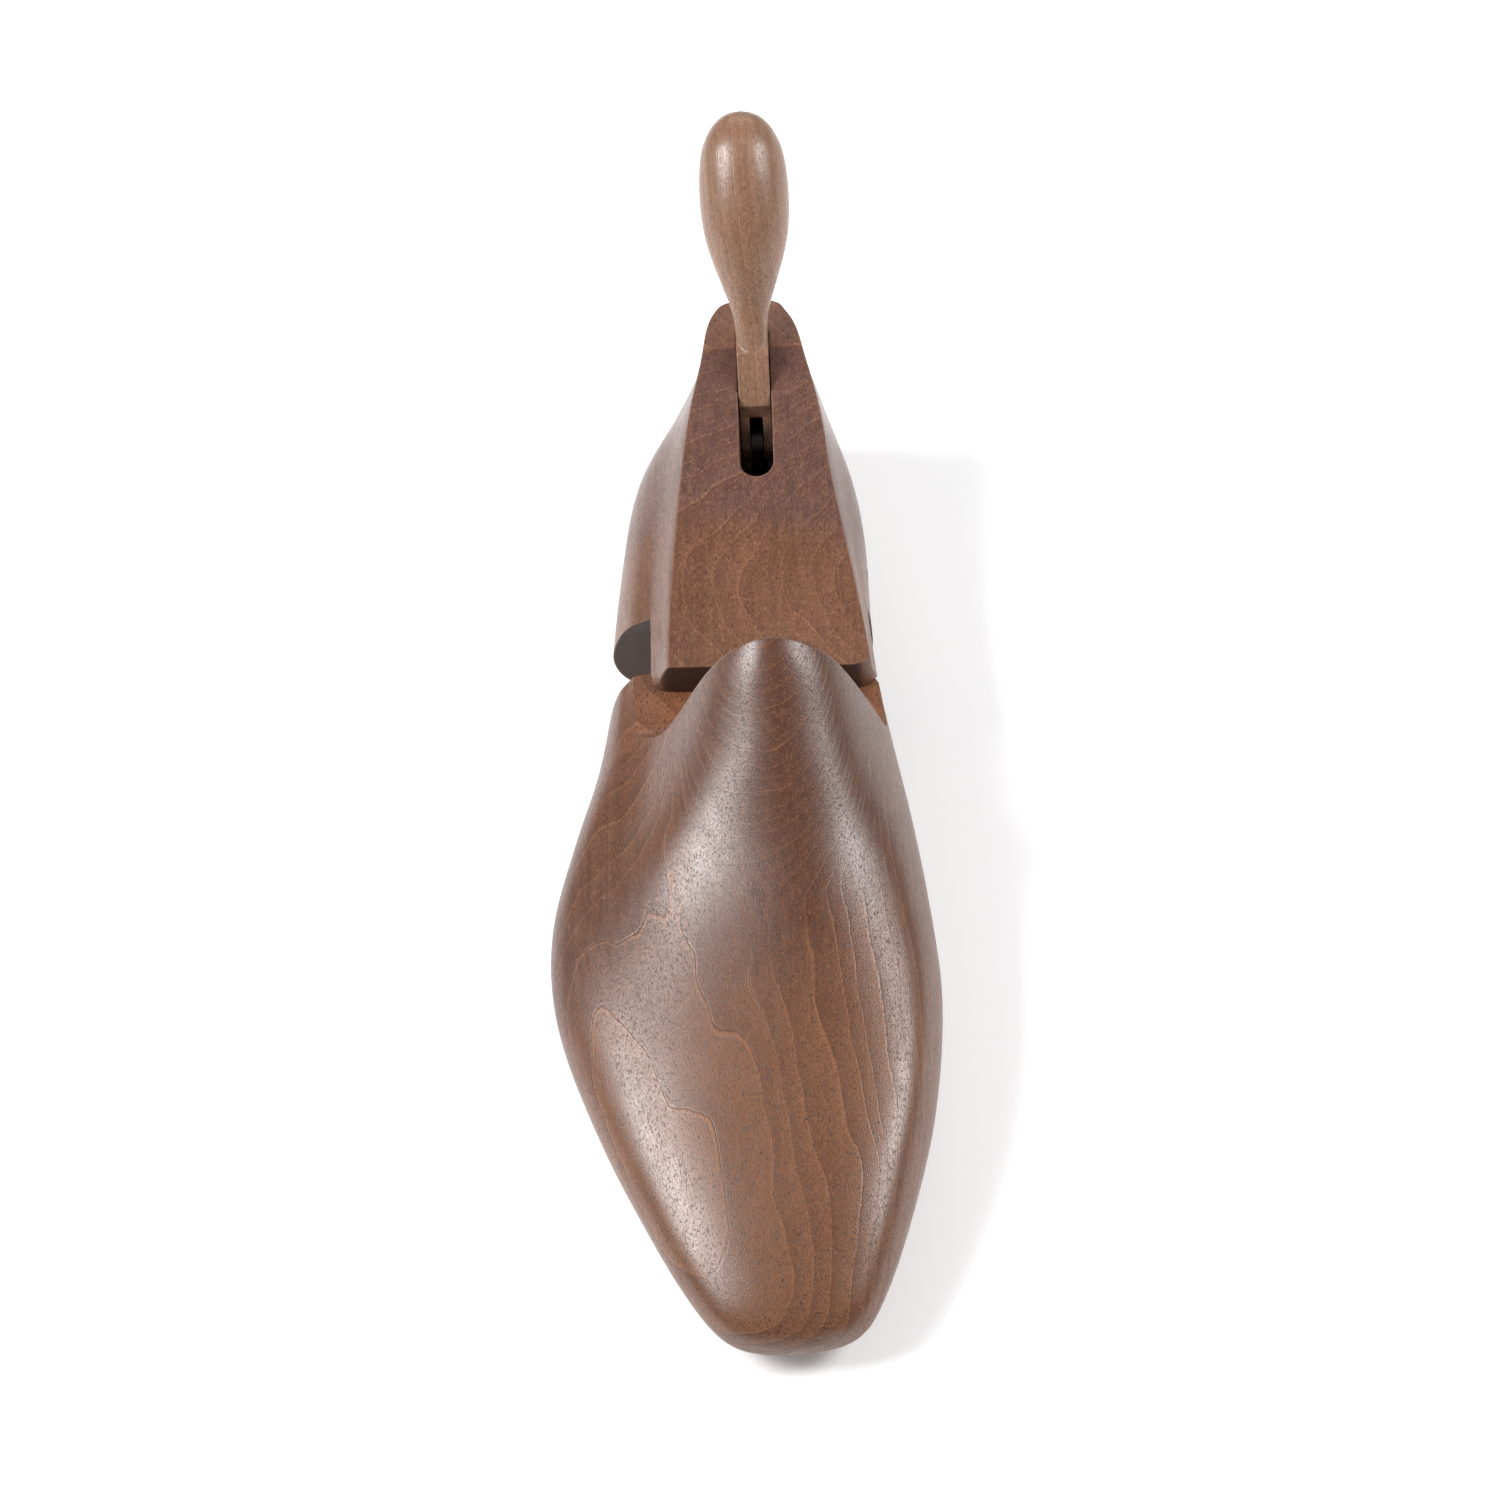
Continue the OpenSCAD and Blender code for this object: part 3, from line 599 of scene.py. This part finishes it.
    # satin, duller in the pores and on end grain
    rough = g.ramp(g.noise(g.vmath("MULTIPLY", p, (1, 0.3, 1)), 0.3, 3.0), 0.3, 0.7, 0.27, 0.33)
    dull = g.math("ADD", g.math("MULTIPLY", dark_dash, 0.12), g.math("MULTIPLY", end, 0.25))
    rough = g.math("ADD", rough, dull)
    g.put(g.bsdf.inputs["Roughness"], rough)
    g.bsdf.inputs["IOR"].default_value = 1.5
    g.bsdf.inputs["Specular IOR Level"].default_value = 0.55

    height = g.math("SUBTRACT", g.math("MULTIPLY", edge, 0.4),
                    g.math("ADD", g.math("ADD", dark_dash, groove), g.math("MULTIPLY", fine, 0.5)))
    bump = g.bump(height, 0.25, 0.00008)
    g.put(bump.inputs["Normal"], bevel.outputs[0])
    g.put(g.bsdf.inputs["Normal"], bump.outputs[0])
    return g.mat


def heel_rear_sheen_tint(g, mm, coord):
    """The rear half, drawn darker and purplish: a painted tint of the sheen its sloped top reflects, with a
    soft front border.
    """
    border = g.math("MULTIPLY", g.math("SUBTRACT", g.noise(mm, 0.06, 3.0), 0.5), 14.0)
    across_it = g.vmath("DOT_PRODUCT", mm, (0.25, 1.0, 0.0))
    return g.ramp(g.math("ADD", across_it, border), BACK - 80, BACK - 66, 0.0, 0.9)


def lever_foot_painted_shade(g, mm, coord):
    """The lever's foot down in the slot, painted near black: painted shade of the slot over a darker stain.
    """
    return g.ramp(g.vmath("DOT_PRODUCT", mm, (0.0, 0.0, 1.0)), PIVOT_Z - 3.0, PIVOT_Z - 7.0)


def seat_flat_no_sheen_tint(g, mm, coord):
    """The up-facing flat behind the crease on top, painted redder: painted light, the look of a level flat
    that catches no sheen.
    """
    behind = g.ramp(g.vmath("DOT_PRODUCT", mm, (0.0, 1.0, 0.0)), BACK - CREASE - 0.3, BACK - CREASE + 0.5)
    up = g.ramp(g.vmath("DOT_PRODUCT", coord.outputs["Normal"], (0.0, 0.0, 1.0)), 0.9, 0.99)
    return g.math("MULTIPLY", g.math("MULTIPLY", behind, up), 0.8)


def shelf_painted_light(g, mm, coord):
    """The forepart's up-facing flat shelf, painted lighter than the vamp: painted light where it faces up to
    the lamps.
    """
    low_down = g.ramp(g.vmath("DOT_PRODUCT", mm, (0.0, 0.0, 1.0)), SHELF_Z + 2.0, SHELF_Z + 0.4)
    up = g.ramp(g.vmath("DOT_PRODUCT", coord.outputs["Normal"], (0.0, 0.0, 1.0)), 0.7, 0.99)
    wall = BACK - INSTEP_BACK
    behind = g.ramp(g.vmath("DOT_PRODUCT", mm, (0.0, 1.0, 0.0)), wall - 1, wall + 1)
    return g.math("MULTIPLY", g.math("MULTIPLY", low_down, behind), up)


def instep_top(g, mm, coord):
    """The instep, where the stain is darkest."""
    border = g.math("MULTIPLY", g.math("SUBTRACT", g.noise(mm, 0.06, 3.0), 0.5), 12.0)
    up = g.math("ADD", g.vmath("DOT_PRODUCT", mm, (0.0, 0.0, 1.0)), border)
    return g.ramp(up, 38.0, 56.0, 0.0, 0.75)


def toe_warm(g, mm, coord):
    """The toe, where the stain is lighter and more orange."""
    border = g.math("MULTIPLY", g.math("SUBTRACT", g.noise(mm, 0.05, 3.0), 0.5), 30.0)
    back = g.math("ADD", g.vmath("DOT_PRODUCT", mm, (0.0, 1.0, 0.0)), border)
    return g.ramp(back, BACK - 195.0, BACK - 235.0, 0.0, 0.7)


def metal(name, base, rough):
    """Drawn steel, with streaks along the bar and darker stains."""
    g = Graph(name)
    mm = g.millimetres(g.tree.nodes.new("ShaderNodeTexCoord"))
    drawn = g.noise(g.vmath("MULTIPLY", mm, (6.0, 0.08, 6.0)), 1.0, 3.0, 0.6)
    stain = g.ramp(g.noise(mm, 0.25, 4.0, 0.6), 0.42, 0.62)
    stained = rgb(base[0] * 0.55, base[1] * 0.5, base[2] * 0.45)
    colour = g.mix(g.math("MULTIPLY", stain, 0.5), rgb(*base), stained)
    g.put(g.bsdf.inputs["Base Color"], colour)
    g.bsdf.inputs["Metallic"].default_value = 1.0
    g.put(g.bsdf.inputs["Roughness"], g.ramp(drawn, 0.3, 0.7, rough, rough + 0.16))
    g.put(g.bsdf.inputs["Normal"], g.bump(drawn, 0.2, 0.00003).outputs[0])
    return g.mat


fore_stain = wood(
    "fore_stain",
    ((0.076, 0.027, 0.0135), (0.140, 0.055, 0.027), (0.25, 0.115, 0.062), (0.34, 0.145, 0.064)),
    layers=(-0.45, -0.30, 1.0), period=3.0, grain=0.0, seed=1.0, line_amount=0.36, fleck=0.95,
    patches=((instep_top, rgb(0.080, 0.031, 0.019)), (toe_warm, rgb(0.190, 0.084, 0.042)),
             # the shelf's lighter patch is painted light on the up-facing flat
             (shelf_painted_light, rgb(0.200, 0.078, 0.036))),
    crowd=(46.0, 1.0))
heel_stain = wood(
    "heel_stain",
    ((0.112, 0.044, 0.023), (0.198, 0.084, 0.042), (0.30, 0.150, 0.088), (0.36, 0.170, 0.085)),
    layers=(-0.09, -0.09, 1.0), period=0.8, grain=0.0, seed=2.0, line_amount=0.28, fleck=0.95,
    # the purplish rear patch is the painted tint of the sheen on the sloped top
    # the redder flat patch is painted: how the level flat looks where it catches no sheen
    patches=((heel_rear_sheen_tint, rgb(0.088, 0.042, 0.042)), (seat_flat_no_sheen_tint, rgb(0.20, 0.068, 0.028))),
    ends=(-1.0, 0.85))
lever_stain = wood(
    "lever_stain",
    ((0.180, 0.090, 0.052), (0.262, 0.138, 0.083), (0.38, 0.23, 0.155), (0.38, 0.22, 0.13)),
    layers=(1.0, 0.02, 0.15), period=2.6, grain=math.radians(-43), seed=3.0, line_amount=0.3,
    # the foot's near-black patch is painted shade down in the slot
    fleck=0.75, patches=((lever_foot_painted_shade, rgb(0.020, 0.011, 0.008)),), ends=(1.0, 0.2))
plug_stain = wood(
    "plug_stain",
    ((0.10, 0.04, 0.025), (0.15, 0.065, 0.04), (0.22, 0.12, 0.08), (0.22, 0.11, 0.06)),
    layers=(0.3, 1.0, 0.2), period=1.5, grain=0.0, seed=4.0, line_amount=0.3)
steel = metal("mild_steel", (0.085, 0.08, 0.078), 0.42)

for ob, material in [(heel_wood, heel_stain), (fore_wood, fore_stain), (lever_wood, lever_stain)] + [
        (ob, plug_stain) for ob in plugs]:
    ob.data.materials.clear()
    ob.data.materials.append(material)
for node in ("lever_pivot_pin", "guide_pin", "link_pin", "draw_bar", "bar_pin_rear", "bar_pin_front"):
    ob = frame["nodes"][node]
    ob.data.materials.clear()
    ob.data.materials.append(steel)

# ---------------------------------------------------------------------------------------------
# Floor, light, camera
# ---------------------------------------------------------------------------------------------
floor_mat = Graph("paper")
paper = floor_mat.tree.nodes.new("ShaderNodeTexCoord").outputs["Object"]
tint = floor_mat.mix(floor_mat.noise(paper, 3.0, 3.0), rgb(0.94, 0.94, 0.945), rgb(0.96, 0.96, 0.965))
floor_mat.put(floor_mat.bsdf.inputs["Base Color"], tint)
floor_mat.bsdf.inputs["Roughness"].default_value = 0.9
# a light table: a little light of its own keeps the shadows faint
floor_mat.bsdf.inputs["Emission Color"].default_value = (1.0, 1.0, 1.0, 1.0)
floor_mat.bsdf.inputs["Emission Strength"].default_value = 0.12
bpy.ops.mesh.primitive_plane_add(size=6.0, location=(0, 0, CAD_BOX[0][2]))
floor = bpy.context.object
floor.name = "floor"
floor.data.materials.append(floor_mat.mat)

world = bpy.data.worlds.new("studio")
bpy.context.scene.world = world
world.use_nodes = True
world.node_tree.nodes["Background"].inputs["Color"].default_value = (1.0, 1.0, 1.0, 1.0)
world.node_tree.nodes["Background"].inputs["Strength"].default_value = 0.22


def softbox(name, azimuth, elevation, distance, size, power):
    """Area light that looks at the middle of the tree."""
    data = bpy.data.lights.new(name, "AREA")
    data.shape = "RECTANGLE"
    data.size, data.size_y = size
    data.energy = power
    ob = bpy.data.objects.new(name, data)
    bpy.context.scene.collection.objects.link(ob)
    a, e = math.radians(azimuth), math.radians(elevation)
    aim = Vector((0, 0, 0.04))
    way = Vector((math.sin(a) * math.cos(e), -math.cos(a) * math.cos(e), math.sin(e)))
    ob.location = aim + distance * way
    ob.rotation_euler = (aim - ob.location).to_track_quat("-Z", "Y").to_euler()
    return ob


softbox("left", -86, 44, 1.2, (0.6, 0.5), 18.5)
softbox("right", 92, 42, 1.2, (0.55, 0.45), 11.5)
softbox("back", 180, 32, 1.5, (1.2, 0.4), 3.0)
bpy.context.scene.view_settings.view_transform = "Standard"

camera_data = bpy.data.cameras.new("camera")
camera = bpy.data.objects.new("camera", camera_data)
bpy.context.scene.collection.objects.link(camera)
bpy.context.scene.camera = camera
camera_data.sensor_width = 36.0
camera_data.lens = 76.3
camera_data.shift_x = -0.169
# the eye is 0.85 m from a point beside the tree, 3.5 degrees round from the toe and 52 degrees up
LOOK = Vector((0.06866, 0.02293, 0.0))
turn, rise = math.radians(3.5), math.radians(52.0)
back = Vector((-math.sin(turn) * math.cos(rise), -math.cos(turn) * math.cos(rise), math.sin(rise)))
camera.location = LOOK + 0.85 * back
camera.rotation_euler = (-back).to_track_quat("-Z", "Y").to_euler()
